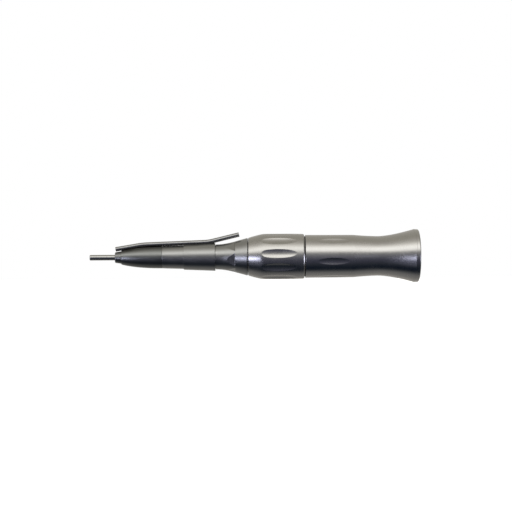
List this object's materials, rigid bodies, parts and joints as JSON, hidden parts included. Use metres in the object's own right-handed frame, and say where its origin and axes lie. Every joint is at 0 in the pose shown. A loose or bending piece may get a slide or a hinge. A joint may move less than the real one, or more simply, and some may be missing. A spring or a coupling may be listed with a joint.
{
  "type": "surgical handpiece",
  "caption": "Straight dental handpiece that clamps a long bur in its nose, with a twist-lock chuck ring and a slide-on spray clip.",
  "frame": {"origin": "centre of the rear face that seats on the motor, on the handpiece's axis", "axes": "+X along the axis out of the rear end towards the motor, so the nose points along -X; +Z towards the spray tube"},
  "size_m": [0.1394, 0.0226, 0.0226],
  "materials": {
    "satin_steel": "satin ground stainless steel",
    "dark_steel": "dark hard coating on satin steel",
    "tube_steel": "bright drawn stainless tube",
    "polished_steel": "polished steel",
    "bearing_steel": "ground bearing steel",
    "spring_steel": "drawn spring wire",
    "brass": "turned brass",
    "black_rubber": "matt black rubber",
    "white_plastic": "moulded plastic"
  },
  "bodies": {
    "handpiece": {"rear_sheath": "satin_steel", "barrel": "satin_steel", "socket_sleeve": "polished_steel", "front_housing": "satin_steel", "nose_cone": "dark_steel", "nose_tip": "dark_steel", "thrust_washer": "black_rubber", "ring_washer": "black_rubber", "sheath_o_ring": "black_rubber", "shaft_seal": "black_rubber", "first_bearing_outer_race": "bearing_steel", "second_bearing_outer_race": "bearing_steel", "rear_bearing_outer_race": "bearing_steel", "bearing_spacer": "satin_steel", "preload_washer": "spring_steel", "bearing_sleeve": "satin_steel", "rear_bearing_retainer": "satin_steel"},
    "chuck_ring": {"chuck_ring": "satin_steel"},
    "release_pusher": {"pusher_ring": "satin_steel", "cam_pin_1": "bearing_steel", "cam_pin_2": "bearing_steel"},
    "spindle": {"spindle": "satin_steel", "spindle_nut": "satin_steel", "spring_seat": "satin_steel", "chuck_spring": "spring_steel", "dog_pin": "bearing_steel", "dog_spring": "spring_steel", "first_bearing_inner_race": "bearing_steel", "second_bearing_inner_race": "bearing_steel", "rear_bearing_inner_race": "bearing_steel"},
    "first_ball_cage": {"first_bearing_ball_cage": "brass"},
    "second_ball_cage": {"second_bearing_ball_cage": "brass"},
    "rear_ball_cage": {"rear_bearing_ball_cage": "brass"},
    "chuck": {"collet": "polished_steel", "draw_tube": "satin_steel", "release_collar": "satin_steel", "release_pin": "bearing_steel", "tool_stop": "satin_steel"},
    "drive_dog": {"drive_dog": "satin_steel"},
    "bur": {"blank_bur": "polished_steel"},
    "clip_grip": {"clip_grip_ring": "white_plastic"},
    "spray_clip": {"clip_sleeve": "satin_steel", "spray_tube": "tube_steel"}
  },
  "joints": [
    {"name": "ring_turn", "type": "hinge", "parent": "handpiece", "child": "chuck_ring", "pos_m": [-0.0602, 0, 0], "axis": [1, 0, 0], "range_deg": [0, 40]},
    {"name": "release_slide", "type": "slide", "parent": "handpiece", "child": "release_pusher", "axis": [-1, 0, 0], "range_m": [0, 0.0015]},
    {"name": "spindle_spin", "type": "hinge", "parent": "handpiece", "child": "spindle", "pos_m": [-0.075, 0, 0], "axis": [1, 0, 0], "continuous": true},
    {"name": "first_cage_spin", "type": "hinge", "parent": "handpiece", "child": "first_ball_cage", "pos_m": [-0.11625, 0, 0], "axis": [1, 0, 0], "continuous": true},
    {"name": "second_cage_spin", "type": "hinge", "parent": "handpiece", "child": "second_ball_cage", "pos_m": [-0.11125, 0, 0], "axis": [1, 0, 0], "continuous": true},
    {"name": "rear_cage_spin", "type": "hinge", "parent": "handpiece", "child": "rear_ball_cage", "pos_m": [-0.0429, 0, 0], "axis": [1, 0, 0], "continuous": true},
    {"name": "chuck_release", "type": "slide", "parent": "spindle", "child": "chuck", "axis": [-1, 0, 0], "range_m": [0, 0.0011], "deforming": ["chuck_spring"]},
    {"name": "dog_press", "type": "slide", "parent": "spindle", "child": "drive_dog", "axis": [-1, 0, 0], "range_m": [0, 0.0015], "stiffness_N_per_m": 1500, "deforming": ["dog_spring"]},
    {"name": "bur_pull", "type": "slide", "parent": "chuck", "child": "bur", "axis": [-1, 0, 0], "range_m": [0, 0.055]},
    {"name": "clip_slide", "type": "slide", "parent": "handpiece", "child": "clip_grip", "axis": [-1, 0, 0], "range_m": [0, 0.05]},
    {"name": "clip_turn", "type": "hinge", "parent": "clip_grip", "child": "spray_clip", "pos_m": [-0.09275, 0, 0], "axis": [1, 0, 0], "continuous": true}
  ],
  "couplings": [
    {"joint": "release_slide", "follows": "ring_turn", "m_per_rad": 0.002148},
    {"joint": "chuck_release", "follows": "ring_turn", "m_per_rad": 0.001575},
    {"joint": "first_cage_spin", "follows": "spindle_spin", "ratio": 0.426},
    {"joint": "second_cage_spin", "follows": "spindle_spin", "ratio": 0.426},
    {"joint": "rear_cage_spin", "follows": "spindle_spin", "ratio": 0.414}
  ]
}
